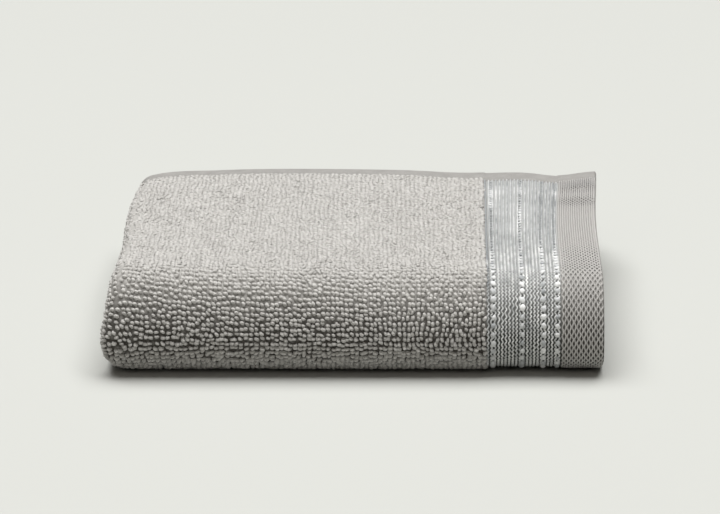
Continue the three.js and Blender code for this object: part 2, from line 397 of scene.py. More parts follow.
def ground_material():
    """The woven ground of each zone of the flat cloth, told apart by the distance from its edges."""
    material = bpy.data.materials.new("ground_cotton")
    material.use_nodes = True
    tree = material.node_tree
    shader = tree.nodes["Principled BSDF"]
    flat = node(tree, "ShaderNodeUVMap", uv_map="Cloth").outputs[0]
    along, across = node(tree, "ShaderNodeSeparateXYZ", {0: flat}).outputs[:2]
    from_end = number(tree, "MINIMUM", along, number(tree, "SUBTRACT", CLOTH_LENGTH, along))
    from_side = number(tree, "MINIMUM", across, number(tree, "SUBTRACT", CLOTH_WIDTH, across))
    in_border = between(tree, from_end, END_HEM - RAMP, END_HEM + RAMP)
    in_terry = between(tree, from_end, TERRY_START - RAMP, TERRY_START)
    in_middle = between(tree, from_side, SIDE_HEM - RAMP, SIDE_HEM)
    cells = node(tree, "ShaderNodeTexVoronoi", {
        "Vector": flat, "Scale": 1 / LOOP_PITCH_ALONG, "Randomness": LOOPS_UNEVEN}).outputs["Distance"]
    loop_tops = between(tree, cells, LOOP_EDGE, LOOP_TOP)
    hem_ribs = ribs(tree, from_end, HEM_STRAND_PITCH, HEM_FIRST)
    border_ribs = ribs(tree, from_end, STRAND_PITCH, BORDER_FIRST)
    weft = number(tree, "MULTIPLY", ribs(tree, along, FINE_PITCH), ribs(tree, across, FINE_PITCH))
    warp = number(tree, "MULTIPLY", ribs(tree, along, FINE_PITCH, FINE_PITCH / 2),
                  ribs(tree, across, FINE_PITCH, FINE_PITCH / 2))
    side_weave = number(tree, "ADD", weft, warp)
    seam = number(tree, "MULTIPLY", between(tree, from_side, SEAM - SEAM_REACH, SEAM),
                  between(tree, from_side, SEAM + SEAM_REACH, SEAM))
    height = mixed(tree, in_border, hem_ribs, border_ribs, "FLOAT")
    height = mixed(tree, in_terry, height, loop_tops, "FLOAT")
    height = mixed(tree, in_middle, side_weave, height, "FLOAT")
    painted_depth_shade = node(tree, "ShaderNodeAttribute", attribute_name="painted_depth_shade").outputs["Fac"]
    dark = mixed(tree, in_terry, mixed(tree, in_border, HEM_DARK, BORDER_DARK), TERRY_DARK)
    light = mixed(tree, in_terry, mixed(tree, in_border, HEM_LIGHT, BORDER_LIGHT), TERRY_LIGHT)
    # painted shade: where the ground lies deep between loops and yarns, both its tones go darker
    dark = mixed(tree, number(tree, "MULTIPLY_ADD", painted_depth_shade, DEEP_SHADE, 1 - DEEP_SHADE), light, dark)
    light = mixed(tree, number(tree, "MULTIPLY", painted_depth_shade, DEEP_SHADE), light, dark)
    dark = mixed(tree, in_middle, SIDE_DARK, dark)
    light = mixed(tree, in_middle, SIDE_LIGHT, light)
    worn = noise(tree, node(tree, "ShaderNodeTexCoord").outputs["Object"], WEAR_SCALE, 3.0)
    # The tone follows the height of the weave, lighter on its yarns and loops and darker between them: a
    # painted shade in its hollows.
    share = number(tree, "MULTIPLY_ADD", height, RELIEF_SHADE_SHARE, TONE_SHIFT)
    share = number(tree, "MULTIPLY_ADD", worn, WEAR_SHARE, share)
    colour = mixed(tree, share, dark, light)
    colour = mixed(tree, number(tree, "MULTIPLY", seam, SEAM_SHADE), colour, SIDE_DARK)
    tree.links.new(colour, shader.inputs["Base Color"])
    relief = number(tree, "MULTIPLY_ADD", seam, -SEAM_DEPTH, height)
    bump = node(tree, "ShaderNodeBump", {"Height": relief, "Distance": WEAVE_RELIEF, "Strength": 0.7})
    tree.links.new(bump.outputs[0], shader.inputs["Normal"])
    shader.inputs["Roughness"].default_value = 0.95
    shader.inputs["Specular IOR Level"].default_value = 0.1
    return material


cloth.data.materials.append(ground_material())
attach(cloth, "root")
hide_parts("towel")

# The terry: loops of soft two-ply cotton, left uncut, that stand on the ground in rows along the cloth.
# Each row is one pile warp yarn. The loops twist, lean on each other and lie flatter where they are pressed.
LOOP_PITCH_ACROSS = 0.00170
LOOP_FOOT = 0.00030  # half the way between the feet of a loop
PILE_YARN = 0.00055  # half its thickness
LOOP_HEIGHT = TERRY_HALF - GROUND_HALF - PILE_YARN
LOOP_SCATTER = 0.00036  # how far a loop strays from its row alone, and together with the loops round it
LOOP_DRIFT = 0.0019
LOOP_LEAN = 0.36  # how far loops lean and turn by chance, in radians
LOOP_TWIST = 0.34
SMALLEST_LOOP = (0.80, 0.84, 0.74)
LARGEST_LOOP = (1.14, 1.16, 1.14)
LEFT_SLANT = -0.90  # how far the loops are turned on the crease
RIGHT_SLANT = -2.20
SLANT_CHANGES = (0.060, 0.095)  # along the cloth, from the right slant to the left one
SLANT_ENDS = (0.148, 0.158)  # across it, where the loops come level
HANGING = (0.164, 0.172)  # and where they hang down and point to the front
LOW_WIDENS = (0.148, 0.160)
LOW_WIDER = 0.20  # how much larger loops are below the crease, and where they are pressed
PRESSED_WIDER = 0.30
PRESSED_LONGER = 0.18
FIRST_LOOP_ALONG = TERRY_START + 0.0010
FIRST_LOOP_ACROSS = SIDE_HEM + 0.0008
TOP_ROWS = 64
FRONT_ROWS = 38
TOP_COLUMNS = 78
SMALL_STEP = 0.0002
SURFACE_SAMPLES = 1500
TOP_MIDDLE = OUTER_RUN / 2  # where the run over the outer face is measured, and over the inner face
RIGHT_FOLD_MIDDLE = (MIDDLE_END + INNER_START) / 2


def unit(vectors):
    return vectors / np.linalg.norm(vectors, axis=-1, keepdims=True)


def surface_run(across, at_along, face):
    """How far a place lies from the upper side edge, measured over one face with its crease stretched."""
    samples = np.linspace(0, CLOTH_WIDTH, SURFACE_SAMPLES)
    points = towel_point(np.full_like(samples, at_along), samples, face * GROUND_HALF)
    steps = np.linalg.norm(np.diff(points, axis=0), axis=-1)
    return np.interp(across, samples, np.append(0, np.cumsum(steps)))


def loop_turn(along, across):
    """How far the loops are turned out of line with their row.

    They slant on the crease, one way at the left and the other at the right, lie level near its foot, and
    point to the front on top and where they hang underneath.
    """
    slant = LEFT_SLANT + (RIGHT_SLANT - LEFT_SLANT) * (1 - smooth(along, *SLANT_CHANGES))
    slant = slant * (1 - smooth(across, *SLANT_ENDS))
    forwards = np.maximum(pressed(across), smooth(across, *HANGING))
    return slant + (-math.pi / 2 - slant) * forwards


def keep_fields(mesh, fields):
    for label, vectors in fields.items():
        mesh.attributes.new(label, "FLOAT_VECTOR", "POINT").data.foreach_set("vector", vectors.ravel())


def guide(name, along_values, across_values, face, at_along):
    """One face of the folded cloth, with the directions that stand on it, for yarns to be placed by.

    Its UV map holds the place along the cloth and the run over the surface, both in metres.
    """
    along, across = flat_grid(along_values, across_values)
    half = face * ground_half(along, across, face)
    ahead = towel_point(along + SMALL_STEP, across, half)
    behind = towel_point(along - SMALL_STEP, across, half)
    right = towel_point(along, across + SMALL_STEP, half)
    left = towel_point(along, across - SMALL_STEP, half)
    lengthwise = unit(ahead - behind)
    outwards = face * unit(np.cross(lengthwise, right - left))
    run = surface_run(across, at_along, face)
    faces = grid_faces(len(along_values), len(across_values))
    mesh = mesh_from(name, towel_point(along, across, half), faces, np.stack([along, run], -1))
    wide = 1 + LOW_WIDER * smooth(across, *LOW_WIDENS) + PRESSED_WIDER * pressed(across)
    room = (TERRY_HALF - face * half) / (TERRY_HALF - GROUND_HALF)
    level = np.zeros_like(room)
    keep_fields(mesh, {
        "lengthwise": lengthwise, "outwards": outwards,
        "stretch": np.stack([wide, 1 + PRESSED_LONGER * pressed(across), room], -1),
        "lay": np.stack([level, level, loop_turn(along, across)], -1),
    })
    return place(mesh)


def sum_of(tree, first, second):
    return node(tree, "ShaderNodeVectorMath", {0: first, 1: second}, operation="ADD").outputs[0]


def product_of(tree, first, second):
    return node(tree, "ShaderNodeVectorMath", {0: first, 1: second}, operation="MULTIPLY").outputs[0]


def scaled(tree, vector, factor):
    return node(tree, "ShaderNodeVectorMath", {0: vector, "Scale": factor}, operation="SCALE").outputs[0]


def vector_of(tree, x=0.0, y=0.0, z=0.0):
    return node(tree, "ShaderNodeCombineXYZ", {"X": x, "Y": y, "Z": z}).outputs[0]


def named(tree, name):
    values = {"Name": name}
    return node(tree, "GeometryNodeInputNamedAttribute", values, data_type="FLOAT_VECTOR").outputs[0]


def stored(tree, geometry, name, value, kind="FLOAT_VECTOR", domain="POINT"):
    values = {"Geometry": geometry, "Name": name, "Value": value}
    return node(tree, "GeometryNodeStoreNamedAttribute", values, data_type=kind, domain=domain).outputs[0]


def spread_around(tree, reach, seed, step):
    """A random vector for each point, up to reach to both sides of 0."""
    values = {"Min": scaled(tree, reach, -1.0), "Max": reach, "Seed": number(tree, "ADD", seed, step)}
    return node(tree, "FunctionNodeRandomValue", values, data_type="FLOAT_VECTOR").outputs[0]


def weave_tree(name, inputs):
    """An empty Geometry Nodes tree with the named inputs, and its inputs by name."""
    tree = bpy.data.node_groups.new(name, "GeometryNodeTree")
    tree.interface.new_socket("Geometry", in_out="OUTPUT", socket_type="NodeSocketGeometry")
    tree.interface.new_socket("Geometry", in_out="INPUT", socket_type="NodeSocketGeometry")
    for label, kind in inputs:
        tree.interface.new_socket(label, in_out="INPUT", socket_type="NodeSocket" + kind)
    return tree, node(tree, "NodeGroupInput").outputs


def on_cloth(tree, cloth_face, value, flat_place):
    """The value that the guide mesh has where the flat cloth has the given place."""
    values = {"Mesh": cloth_face, "Value": value, 2: named(tree, "Cloth"), "Sample UV": flat_place}
    return node(tree, "GeometryNodeSampleUVSurface", values, data_type="FLOAT_VECTOR").outputs[0]


PLIES = 2  # each yarn is twisted of two


def spun(tree, curve, radius, sides, swelling=1.0):
    """A yarn along a curve, with its run in metres and its turn stored for the twist of the material."""
    parameter = node(tree, "GeometryNodeSplineParameter").outputs
    values = {"Resolution": sides, "Radius": radius}
    circle = node(tree, "GeometryNodeCurvePrimitiveCircle", values).outputs[0]
    turn = number(tree, "MULTIPLY", parameter["Factor"], 2 * PLIES * math.pi)
    both = vector_of(tree, number(tree, "SINE", turn), number(tree, "COSINE", turn))
    section = stored(tree, circle, "ply", both)
    path = stored(tree, curve, "run", parameter["Length"], "FLOAT")
    path = node(tree, "GeometryNodeSetCurveRadius", {"Curve": path, "Radius": swelling}).outputs[0]
    values = {"Curve": path, "Profile Curve": section, "Fill Caps": True}
    return node(tree, "GeometryNodeCurveToMesh", values).outputs[0]


def stood_up(tree, outwards, lengthwise, own_turn):
    """The rotation of a thing that stands on the cloth, in line with its length but for a turn of its own."""
    values = {"Primary Axis": outwards, "Secondary Axis": lengthwise}
    in_line = node(
        tree, "FunctionNodeAxesToRotation", values, primary_axis="Z", secondary_axis="X").outputs[0]
    own = node(tree, "FunctionNodeEulerToRotation", {"Euler": own_turn}).outputs[0]
    values = {"Rotation": in_line, "Rotate By": own}
    return node(tree, "FunctionNodeRotateRotation", values, rotation_space="LOCAL").outputs[0]


def finish_tree(tree, geometry, material):
    realized = node(tree, "GeometryNodeRealizeInstances", {"Geometry": geometry}).outputs[0]
    soft = node(tree, "GeometryNodeSetShadeSmooth", {"Geometry": realized}).outputs[0]
    finished = node(tree, "GeometryNodeSetMaterial", {"Geometry": soft, "Material": material}).outputs[0]
    node(tree, "NodeGroupOutput", {0: finished})


def woven(name, cloth_face, tree, values):
    """The plain mesh that a tree makes on one face of the cloth, as a piece of its own."""
    modifier = cloth_face.modifiers.new("Weave", "NODES")
    modifier.node_group = tree
    for item in tree.interface.items_tree:
        if item.in_out == "INPUT" and item.name in values:
            modifier[item.identifier] = values[item.name]
    evaluated = cloth_face.evaluated_get(bpy.context.evaluated_depsgraph_get())
    mesh = bpy.data.meshes.new_from_object(evaluated)
    mesh.name = name
    cloth_face.modifiers.remove(modifier)
    piece = place(mesh)
    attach(piece, "root")


ARCH = 4 / 3  # how much higher the handles of a curve stand than the curve
HANDLE_SPREAD = 1.6  # against the foot
FOOT_SUNK = -0.5  # against the yarn, as is the skew
LOOP_SKEW = 1.1
ACROSS_MORE = 1.2  # how much more a loop strays across the rows than along them
SIDEWAYS_LESS = 0.7  # and how much less it leans that way
DRIFT_SCALE = 90.0
LEAN_SCALE = 160.0
LEAN_TOGETHER = 4.0  # how much more the loops of one spot lean together than alone
MIDWAY = (-0.5, -0.5, -0.5)  # brings noise from between 0 and 1 to both sides of 0


def loop_tree():
    tree, given = weave_tree("Terry loops", (
        ("First along", "Float"), ("First across", "Float"), ("Columns", "Int"), ("Rows", "Int"),
        ("Pitch along", "Float"), ("Pitch across", "Float"), ("Scatter", "Float"), ("Drift", "Float"),
        ("Height", "Float"), ("Foot", "Float"), ("Yarn", "Float"), ("Steps", "Int"), ("Sides", "Int"),
        ("Lean spread", "Float"), ("Turn spread", "Float"), ("Seed", "Int"),
        ("Material", "Material"),
    ))
    width = number(tree, "MULTIPLY", number(tree, "SUBTRACT", given["Columns"], 1.0), given["Pitch along"])
    depth = number(tree, "MULTIPLY", number(tree, "SUBTRACT", given["Rows"], 1.0), given["Pitch across"])
    grid = node(tree, "GeometryNodeMeshGrid", {
        "Size X": width, "Size Y": depth, "Vertices X": given["Columns"], "Vertices Y": given["Rows"],
    }).outputs[0]
    middle = vector_of(
        tree, number(tree, "MULTIPLY_ADD", width, 0.5, given["First along"]),
        number(tree, "MULTIPLY_ADD", depth, 0.5, given["First across"]),
    )
    even = sum_of(tree, node(tree, "GeometryNodeInputPosition").outputs[0], middle)
    wander = sum_of(tree, noise(tree, even, DRIFT_SCALE, 1.0, "Color"), MIDWAY)
    drifted = sum_of(tree, scaled(tree, wander, given["Drift"]), even)
    reach = vector_of(tree, given["Scatter"], number(tree, "MULTIPLY", given["Scatter"], ACROSS_MORE))
    flat_place = sum_of(tree, drifted, spread_around(tree, reach, given["Seed"], 0.0))
    cloth_face = given["Geometry"]
    points = stored(tree, grid, "flat", flat_place)
    points = stored(tree, points, "turned", on_cloth(tree, cloth_face, named(tree, "lay"), even))
    flat = named(tree, "flat")
    spot = on_cloth(tree, cloth_face, node(tree, "GeometryNodeInputPosition").outputs[0], flat)
    outwards = on_cloth(tree, cloth_face, named(tree, "outwards"), flat)
    lengthwise = on_cloth(tree, cloth_face, named(tree, "lengthwise"), flat)
    points = node(tree, "GeometryNodeSetPosition", {"Geometry": points, "Position": spot}).outputs[0]

    top = number(tree, "MULTIPLY", given["Height"], ARCH)
    side = number(tree, "MULTIPLY", given["Foot"], HANDLE_SPREAD)
    sunk = number(tree, "MULTIPLY", given["Yarn"], FOOT_SUNK)
    skew = number(tree, "MULTIPLY", given["Yarn"], LOOP_SKEW)
    arch = node(tree, "GeometryNodeCurvePrimitiveBezierSegment", {
        "Resolution": given["Steps"],
        "Start": vector_of(tree, number(tree, "MULTIPLY", given["Foot"], -1.0), 0.0, sunk),
        "Start Handle": vector_of(
            tree, number(tree, "MULTIPLY", side, -1.0), number(tree, "MULTIPLY", skew, -1.0), top),
        "End Handle": vector_of(tree, side, skew, top),
        "End": vector_of(tree, given["Foot"], 0.0, sunk),
    }).outputs[0]
    loop = spun(tree, arch, given["Yarn"], given["Sides"])

    sideways = number(tree, "MULTIPLY", given["Lean spread"], SIDEWAYS_LESS)
    reach = vector_of(tree, given["Lean spread"], sideways, given["Turn spread"])
    own = spread_around(tree, reach, given["Seed"], 1.0)
    nearby = sum_of(tree, noise(tree, flat, LEAN_SCALE, 1.5, "Color"), MIDWAY)
    shared = product_of(tree, nearby, scaled(tree, reach, LEAN_TOGETHER))
    turn = sum_of(tree, sum_of(tree, own, shared), named(tree, "turned"))
    rotation = stood_up(tree, outwards, lengthwise, turn)
    size = node(tree, "FunctionNodeRandomValue", {
        "Min": SMALLEST_LOOP, "Max": LARGEST_LOOP, "Seed": number(tree, "ADD", given["Seed"], 2.0),
    }, data_type="FLOAT_VECTOR").outputs[0]
    sized = product_of(tree, size, on_cloth(tree, cloth_face, named(tree, "stretch"), flat))
    standing = node(tree, "GeometryNodeInstanceOnPoints", {
        "Points": points, "Instance": loop, "Rotation": rotation, "Scale": sized,
    }).outputs[0]
    tone = node(tree, "FunctionNodeRandomValue", {
        2: 0.0, 3: 1.0, "Seed": number(tree, "ADD", given["Seed"], 3.0),
    }, data_type="FLOAT").outputs[1]
    finish_tree(tree, stored(tree, standing, "tone", tone, "FLOAT", "INSTANCE"), given["Material"])
    return tree


FIBRE_ROUGHNESS = 0.7
PLY_RELIEF = 0.35  # against that of the fibres


def yarn_twist_group():
    """Shade and height of a two-ply yarn's twist, broken by loose fibres."""
    group = bpy.data.node_groups.new("Yarn twist", "ShaderNodeTree")
    for label in ("Turns", "Fuzz"):
        group.interface.new_socket(label, in_out="INPUT", socket_type="NodeSocketFloat")
    for label in ("Shade", "Height"):
        group.interface.new_socket(label, in_out="OUTPUT", socket_type="NodeSocketFloat")
    given = node(group, "NodeGroupInput").outputs
    run = node(group, "ShaderNodeAttribute", attribute_name="run").outputs["Fac"]
    ply = node(group, "ShaderNodeSeparateXYZ", {
        0: node(group, "ShaderNodeAttribute", attribute_name="ply").outputs["Vector"]}).outputs
    angle = number(group, "MULTIPLY", number(group, "MULTIPLY", run, given["Turns"]), 2 * math.pi)
    crossed = number(group, "MULTIPLY", ply[0], number(group, "COSINE", angle))
    ridge = number(group, "MULTIPLY_ADD", ply[1], number(group, "SINE", angle), crossed)
    inside = node(group, "ShaderNodeTexCoord").outputs["Object"]
    fibres = node(group, "ShaderNodeTexNoise", {
        "Vector": inside, "Scale": given["Fuzz"], "Detail": 3.0, "Roughness": FIBRE_ROUGHNESS,
    }).outputs[0]
    height = number(group, "MULTIPLY_ADD", ridge, PLY_RELIEF, fibres)
    node(group, "NodeGroupOutput", {"Shade": fibres, "Height": height})
    return group


yarn_twist = yarn_twist_group()


def cotton(name, dark, light, turns, fuzz, relief, shares):
    """Dull cotton between two tones, with the turns of its twist and the grain of its fuzz to a metre.

    The shares say how much its fibres and each yarn's own tone vary it.
    """
    material = bpy.data.materials.new(name)
    material.use_nodes = True
    tree = material.node_tree
    shader = tree.nodes["Principled BSDF"]
    twist = node(tree, "ShaderNodeGroup", node_tree=yarn_twist)
    twist.inputs["Turns"].default_value = turns
    twist.inputs["Fuzz"].default_value = fuzz
    tone = node(tree, "ShaderNodeAttribute", attribute_name="tone").outputs["Fac"]
    fibres, own = shares
    both = number(tree, "MULTIPLY", tone, own)
    both = number(tree, "MULTIPLY_ADD", twist.outputs["Shade"], fibres, both)
    share = number(tree, "SUBTRACT", both, (fibres + own - 1) / 2)
    tree.links.new(mixed(tree, share, dark, light), shader.inputs["Base Color"])
    bump = node(
        tree, "ShaderNodeBump", {"Height": twist.outputs["Height"], "Distance": relief, "Strength": 0.8})
    tree.links.new(bump.outputs[0], shader.inputs["Normal"])
    shader.inputs["Roughness"].default_value = 0.9
    shader.inputs["Specular IOR Level"].default_value = 0.15
    shader.inputs["Sheen Weight"].default_value = 0.25
    shader.inputs["Sheen Roughness"].default_value = 0.5
    return material


outer_face = guide("outer_face", lengths, widths, 1, TOP_MIDDLE)
inner_face = guide("inner_face", lengths, widths, -1, RIGHT_FOLD_MIDDLE)
PILE_DARK, PILE_LIGHT = (0.350, 0.338, 0.320, 1), (0.515, 0.503, 0.481, 1)
pile_cotton = cotton(
    "pile_cotton", PILE_DARK, PILE_LIGHT, turns=900, fuzz=3000, relief=0.0002, shares=(0.5, 0.5))
loops = loop_tree()


def pile(name, cloth_face, first_along, pitch, columns, first_across, rows, seed, steps, sides):
    woven(name, cloth_face, loops, {
        "First along": first_along, "First across": first_across, "Columns": columns, "Rows": rows,
        "Pitch along": pitch, "Pitch across": LOOP_PITCH_ACROSS, "Scatter": LOOP_SCATTER, "Drift": LOOP_DRIFT,
        "Height": LOOP_HEIGHT, "Foot": LOOP_FOOT, "Yarn": PILE_YARN, "Steps": steps, "Sides": sides,
        "Lean spread": LOOP_LEAN, "Turn spread": LOOP_TWIST, "Seed": seed, "Material": pile_cotton,
    })


# The pile of the outer face is parted where the crease begins and halfway along, to keep each piece light.
half_columns = TOP_COLUMNS // 2
crease_across = FIRST_LOOP_ACROSS + TOP_ROWS * LOOP_PITCH_ACROSS
for side, first, columns in (("right", 0, half_columns), ("left", half_columns, TOP_COLUMNS - half_columns)):
    first_along = FIRST_LOOP_ALONG + first * LOOP_PITCH_ALONG
    pile(f"pile_front_{side}", outer_face, first_along, LOOP_PITCH_ALONG, columns, crease_across, FRONT_ROWS,
         seed=11 + first, steps=6, sides=6)
    pile(f"pile_top_{side}", outer_face, first_along, LOOP_PITCH_ALONG, columns, FIRST_LOOP_ACROSS, TOP_ROWS,
         seed=22 + first, steps=5, sides=5)

# On the folds the outer face is stretched, so the columns there are laid closer on the flat cloth.
FOLD_PITCH = 0.72 * LOOP_PITCH_ALONG
FOLD_OVERLAP = 0.003  # how far this pile reaches onto the level layers


def rows_on(middle, face):
    """How many rows of loops fit from one side hem to the other."""
    return int((surface_run(CLOTH_WIDTH, middle, face) - 2 * FIRST_LOOP_ACROSS) / LOOP_PITCH_ACROSS) + 1


def fold_pile(name, cloth_face, start, end, rows, seed):
    columns = int((end + FOLD_OVERLAP - start) / FOLD_PITCH) + 1
    pile(name, cloth_face, start, FOLD_PITCH, columns, FIRST_LOOP_ACROSS, rows, seed, steps=5, sides=4)


left_start = FIRST_LOOP_ALONG + TOP_COLUMNS * LOOP_PITCH_ALONG
fold_pile("pile_left_fold", outer_face, left_start, MIDDLE_START, rows_on(TOP_MIDDLE, 1), seed=44)
right_start = MIDDLE_END - FOLD_OVERLAP
fold_pile("pile_right_fold", inner_face, right_start, INNER_START, rows_on(RIGHT_FOLD_MIDDLE, -1), seed=55)
for guide_face in (outer_face, inner_face):
    bpy.data.objects.remove(guide_face)


# The jacquard border: raised two-ply strands of white and silver yarn that zigzag across the towel, woven
# over a grey ground. They lie close and flat on top, swell into soft white patches, and part on the crease.
BORDER_STRANDS = 21
STRAND_YARN = 0.00030  # half its thickness
STRAND_LIFT = 0.00030  # how far its middle lies above the ground
STRAND_RIPPLE = 0.00006
WAVE_PITCH = 0.00178
ZIGZAG = 0.00029  # how far a strand sways to each side
WEAVE_FROM = 0.0105  # the strands run from the side hem to below the crease
WEAVE_TO = 0.188
STRAND_STEPS = 500
BORDER_DARK_YARN, BORDER_LIGHT_YARN = (0.26, 0.272, 0.276, 1), (0.80, 0.80, 0.785, 1)
# Where the weave of the border and the end hem is whiter and fuller, or darker: the place along the cloth and
# the run down over its surface from the upper side edge, how far it reaches each way, and by how much
SPOTS = (
    (0.0290, 0.066, 0.0034, 0.0220, 0.50),
    (0.0285, 0.031, 0.0030, 0.0060, 0.45),
    (0.0376, 0.034, 0.0030, 0.0100, 0.55),
    (0.0388, 0.050, 0.0016, 0.0060, 0.45),
    (0.0155, 0.031, 0.0010, 0.0070, 0.45),
    (0.0225, 0.104, 0.0022, 0.0100, 0.45),
    (0.0155, 0.113, 0.0016, 0.0110, 0.50),
    (0.0330, 0.112, 0.0030, 0.0120, 0.25),
    (0.0275, 0.128, 0.0020, 0.0070, 0.35),
    (0.0158, 0.133, 0.0020, 0.0080, 0.30),
    (0.0385, 0.140, 0.0012, 0.0050, 0.45),
    (0.0288, 0.141, 0.0012, 0.0060, 0.45),
    (0.0213, 0.148, 0.0014, 0.0060, 0.35),
    (0.0200, 0.060, 0.0030, 0.0180, -0.20),
    (0.0288, 0.157, 0.0030, 0.0080, -0.35),
    (0.0170, 0.158, 0.0040, 0.0080, -0.20),
    (0.0408, 0.075, 0.0006, 0.0800, -0.70),
    # The two darker spots on the end hem are painted shade, where its ripples lie.
    (0.0070, 0.021, 0.0110, 0.0100, -0.55),
    (0.0070, 0.0465, 0.0110, 0.0050, -0.50),
)
PAINTED_LOW_LIGHT = 0.25  # and how much lighter it is painted below the crease, a painted light on the foot of the front
LOW_FROM, LOW_TO = 0.146, 0.162
HEM_RIPPLES = ((0.027, 0.005), (0.0465, 0.006))  # where strands of the pressed hem still sway, and how far
HEM_RIPPLE_SWAY = 0.8
HEM_SWAYS = (0.080, 0.125)  # where the sway grows to the full one, by the run over the surface
BORDER_SWAYS = (0.06, 0.12)
PRESSED_SWAY = 0.35  # what is left of it in the pressed border
LOOSENS = (0.085, 0.135)  # where the strands part again, past the pressed top
BORDER_MIDDLE = 0.020
BORDER_REACH = 0.240  # how far across the cloth the guide of the border goes


def weave_fields(along, run):
    """How much whiter the weave is, how far its strands sway and how close they lie, over the outer face."""
    # Below the crease the weave is painted lighter: painted light on the foot of the front.
    whiter = PAINTED_LOW_LIGHT * smooth(run, LOW_FROM, LOW_TO)
    for at, down, reach, drop, white in SPOTS:
        whiter = whiter + white * bell(along, at, reach) * bell(run, down, drop)
    ripple = sum(bell(run, down, drop) for down, drop in HEM_RIPPLES)
    hem_sway = np.clip(smooth(run, *HEM_SWAYS) + HEM_RIPPLE_SWAY * ripple, 0, 1)
    border_sway = PRESSED_SWAY + (1 - PRESSED_SWAY) * smooth(run, *BORDER_SWAYS)
    sway = np.where(along < END_HEM, hem_sway, border_sway)
    close = 1 - smooth(run, *LOOSENS)
    return np.stack([whiter, sway, close], -1)


border_lengths = stations((0, TERRY_START + RAMP, 44))
border_widths = stations((0, BORDER_REACH, 200))
border_face = guide("border_face", border_lengths, border_widths, 1, BORDER_MIDDLE)
border_along, border_across = flat_grid(border_lengths, border_widths)
border_run = surface_run(border_across, BORDER_MIDDLE, 1)
keep_fields(border_face.data, {"weave": weave_fields(border_along, border_run)})

WANDER_SCALE = 90.0
STREAKS = (900.0, 140.0, 1.0)  # the grain of tones is fine along the cloth and long across it
CLOSE_EVENNESS = -0.4  # how much less the tones vary where the strands lie close
WHITE_SWELLING = 0.7  # how much fuller the white yarn is


def strand_tree():
    tree, given = weave_tree("Woven strands", (
        ("First along", "Float"), ("Pitch", "Float"), ("Strands", "Int"), ("From across", "Float"),
        ("To across", "Float"), ("Steps", "Int"), ("Wave pitch", "Float"), ("Zigzag", "Float"),
        ("Turned", "Float"), ("Lift", "Float"), ("Ripple", "Float"), ("Yarn", "Float"), ("Sides", "Int"),
        ("Wander", "Float"), ("Uneven", "Float"), ("Closing", "Float"), ("Painted top shade", "Float"),
        ("Material", "Material"),
    ))
    line = node(tree, "GeometryNodeCurvePrimitiveLine", {
        "Start": vector_of(tree, 0.0, given["From across"]), "End": vector_of(tree, 0.0, given["To across"]),
    }).outputs[0]
    stepped = node(tree, "GeometryNodeResampleCurve", {"Curve": line, "Count": given["Steps"]}).outputs[0]
    starts = node(tree, "GeometryNodeMeshLine", {
        "Count": given["Strands"], "Start Location": vector_of(tree, given["First along"]),
        "Offset": vector_of(tree, given["Pitch"]),
    }).outputs[0]
    laid = node(tree, "GeometryNodeInstanceOnPoints", {"Points": starts, "Instance": stepped}).outputs[0]
    index = node(tree, "GeometryNodeInputIndex").outputs[0]
    laid = stored(tree, laid, "strand", index, "FLOAT", "INSTANCE")
    flat_lines = node(tree, "GeometryNodeRealizeInstances", {"Geometry": laid}).outputs[0]
    flat_lines = stored(tree, flat_lines, "flat", node(tree, "GeometryNodeInputPosition").outputs[0])
    flat = named(tree, "flat")
    strand = node(tree, "GeometryNodeInputNamedAttribute", {"Name": "strand"}, data_type="FLOAT").outputs[0]
    across = node(tree, "ShaderNodeSeparateXYZ", {0: flat}).outputs[1]
    waves = number(tree, "DIVIDE", across, given["Wave pitch"])
    waves = number(tree, "MULTIPLY_ADD", noise(tree, flat, WANDER_SCALE, 1.0), given["Wander"], waves)
    waves = number(tree, "MULTIPLY_ADD", strand, given["Turned"], waves)
    phase = number(tree, "MULTIPLY", waves, 2 * math.pi)
    cloth_face = given["Geometry"]
    weave = on_cloth(tree, cloth_face, named(tree, "weave"), flat)
    whiter, sway, close = node(tree, "ShaderNodeSeparateXYZ", {0: weave}).outputs
    swing = number(tree, "MULTIPLY", number(tree, "SINE", phase), given["Zigzag"])
    flat_place = sum_of(tree, flat, vector_of(tree, number(tree, "MULTIPLY", swing, sway)))
    spot = on_cloth(tree, cloth_face, node(tree, "GeometryNodeInputPosition").outputs[0], flat_place)
    outwards = on_cloth(tree, cloth_face, named(tree, "outwards"), flat_place)
    rise = number(tree, "MULTIPLY_ADD", number(tree, "COSINE", phase), given["Ripple"], given["Lift"])
    lifted = sum_of(tree, spot, scaled(tree, outwards, rise))
    paths = node(tree, "GeometryNodeSetPosition", {"Geometry": flat_lines, "Position": lifted}).outputs[0]
    grain = noise(tree, product_of(tree, flat, STREAKS), 1.0, 2.0)
    spread = number(tree, "MULTIPLY_ADD", close, CLOSE_EVENNESS, 1.0)
    spread = number(tree, "MULTIPLY", spread, given["Uneven"])
    uneven = number(tree, "MULTIPLY_ADD", number(tree, "SUBTRACT", grain, 0.5), spread, 0.5)
    # Where the strands lie close, on the pressed top, their tone is lowered: a painted shade on the top of
    # the stack.
    tone = number(tree, "ADD", number(tree, "MULTIPLY_ADD", close, given["Painted top shade"], whiter), uneven)
    paths = stored(tree, paths, "tone", tone, "FLOAT")
    fuller = number(tree, "MULTIPLY_ADD", number(tree, "MAXIMUM", whiter, 0.0), WHITE_SWELLING, 1.0)
    swelling = number(tree, "MULTIPLY_ADD", close, given["Closing"], fuller)
    finish_tree(tree, spun(tree, paths, given["Yarn"], given["Sides"], swelling), given["Material"])
    return tree


